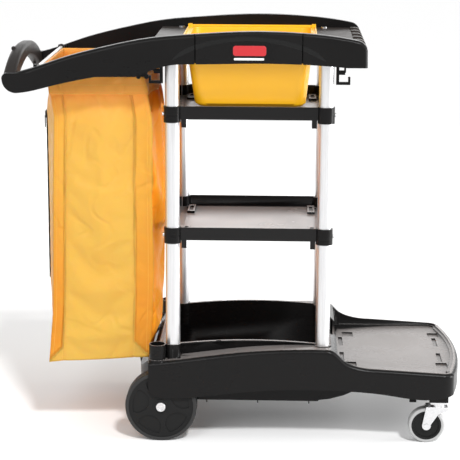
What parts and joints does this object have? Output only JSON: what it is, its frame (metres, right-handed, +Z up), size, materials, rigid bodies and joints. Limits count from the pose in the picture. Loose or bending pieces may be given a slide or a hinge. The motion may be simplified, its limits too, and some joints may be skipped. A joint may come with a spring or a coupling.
{
  "type": "housekeeping cart",
  "caption": "Wheeled housekeeping cart with a hanging zippered bag, lift-out bin, two shelves, deep tub, front platform, push handle and swivel casters at the nose.",
  "frame": {"origin": "on the floor at the centre of the bounding box", "axes": "+X from the handle towards the platform's nose, +Y from the near side to the far side, +Z up"},
  "size_m": [1.2644, 0.547, 1.1462],
  "materials": {
    "base_plastic": "fine moulded texture",
    "frame_plastic": "fine moulded texture",
    "panel_plastic": "satin moulded",
    "shelf_plastic": "fine moulded texture",
    "deck_plastic": "moulded texture",
    "grip_plastic": "satin moulded",
    "badge_red": "gloss",
    "strip_light": "gloss",
    "post_aluminium": "satin anodised",
    "bin_yellow": "satin moulded",
    "bag_vinyl": "coated vinyl cloth",
    "rod_steel": "coated",
    "zip_black": "woven tape",
    "zip_metal": "black lacquer",
    "zinc_steel": "zinc plated",
    "wheel_plastic": "satin moulded",
    "tread_black": "satin",
    "bush_plastic": "natural nylon",
    "tyre_grey": "grey soft tread"
  },
  "bodies": {
    "frame": {"base_deck": "base_plastic", "post_handle_near": "post_aluminium", "post_handle_far": "post_aluminium", "post_nose_near": "post_aluminium", "post_nose_far": "post_aluminium", "post_plugs": "frame_plastic", "post_screws": "zinc_steel", "lower_shelf": "shelf_plastic", "upper_shelf": "shelf_plastic", "lower_collars": "frame_plastic", "upper_collars": "frame_plastic", "collar_screws": "zinc_steel", "side_rail_near": "frame_plastic", "side_rail_far": "frame_plastic", "center_panel_near": "panel_plastic", "center_panel_far": "panel_plastic", "badge_plates": "badge_red", "badge_strips": "strip_light", "top_deck": "deck_plastic", "end_cap": "deck_plastic", "handle_grip": "grip_plastic", "tool_clips": "frame_plastic", "rod_saddles": "frame_plastic", "tool_cups": "base_plastic", "rear_axle": "zinc_steel", "axle_caps": "zinc_steel", "caster_plates": "zinc_steel", "caster_screws": "zinc_steel", "caster_races": "zinc_steel"},
    "rear_wheel_near": {"rear_wheel_near": "wheel_plastic", "rear_tread_near": "tread_black", "rear_bush_near": "bush_plastic"},
    "rear_wheel_far": {"rear_wheel_far": "wheel_plastic", "rear_tread_far": "tread_black", "rear_bush_far": "bush_plastic"},
    "caster_fork_near": {"caster_fork_near": "zinc_steel", "caster_axle_near": "zinc_steel"},
    "caster_fork_far": {"caster_fork_far": "zinc_steel", "caster_axle_far": "zinc_steel"},
    "caster_wheel_near": {"caster_hub_near": "wheel_plastic", "caster_tyre_near": "tyre_grey"},
    "caster_wheel_far": {"caster_hub_far": "wheel_plastic", "caster_tyre_far": "tyre_grey"},
    "bin": {"bin": "bin_yellow"},
    "bag": {"bag": "bag_vinyl", "bag_rods": "rod_steel", "rod_knob": "grip_plastic", "zip_tape": "zip_black"},
    "zip_slider": {"zip_slider": "zip_metal"}
  },
  "joints": [
    {"name": "rear_wheel_near_spin", "type": "hinge", "parent": "frame", "child": "rear_wheel_near", "pos_m": [-0.211, -0.238, 0.1], "axis": [0, 1, 0], "continuous": true},
    {"name": "caster_near_swivel", "type": "hinge", "parent": "frame", "child": "caster_fork_near", "pos_m": [0.562, -0.228, 0.105], "axis": [0, 0, 1], "continuous": true},
    {"name": "caster_near_spin", "type": "hinge", "parent": "caster_fork_near", "child": "caster_wheel_near", "pos_m": [0.53, -0.228, 0.05], "axis": [0, 1, 0], "continuous": true},
    {"name": "rear_wheel_far_spin", "type": "hinge", "parent": "frame", "child": "rear_wheel_far", "pos_m": [-0.211, 0.238, 0.1], "axis": [0, 1, 0], "continuous": true},
    {"name": "caster_far_swivel", "type": "hinge", "parent": "frame", "child": "caster_fork_far", "pos_m": [0.562, 0.228, 0.105], "axis": [0, 0, 1], "continuous": true},
    {"name": "caster_far_spin", "type": "hinge", "parent": "caster_fork_far", "child": "caster_wheel_far", "pos_m": [0.53, 0.228, 0.05], "axis": [0, 1, 0], "continuous": true},
    {"name": "bin_lift", "type": "slide", "parent": "frame", "child": "bin", "axis": [0, 0, 1], "range_m": [0, 0.25]},
    {"name": "bag_lift", "type": "slide", "parent": "frame", "child": "bag", "axis": [-0.0549, 0, 0.9985], "range_m": [0, 0.96]},
    {"name": "zip_slide", "type": "slide", "parent": "bag", "child": "zip_slider", "axis": [0, 0, -1], "range_m": [0, 0.43]}
  ]
}
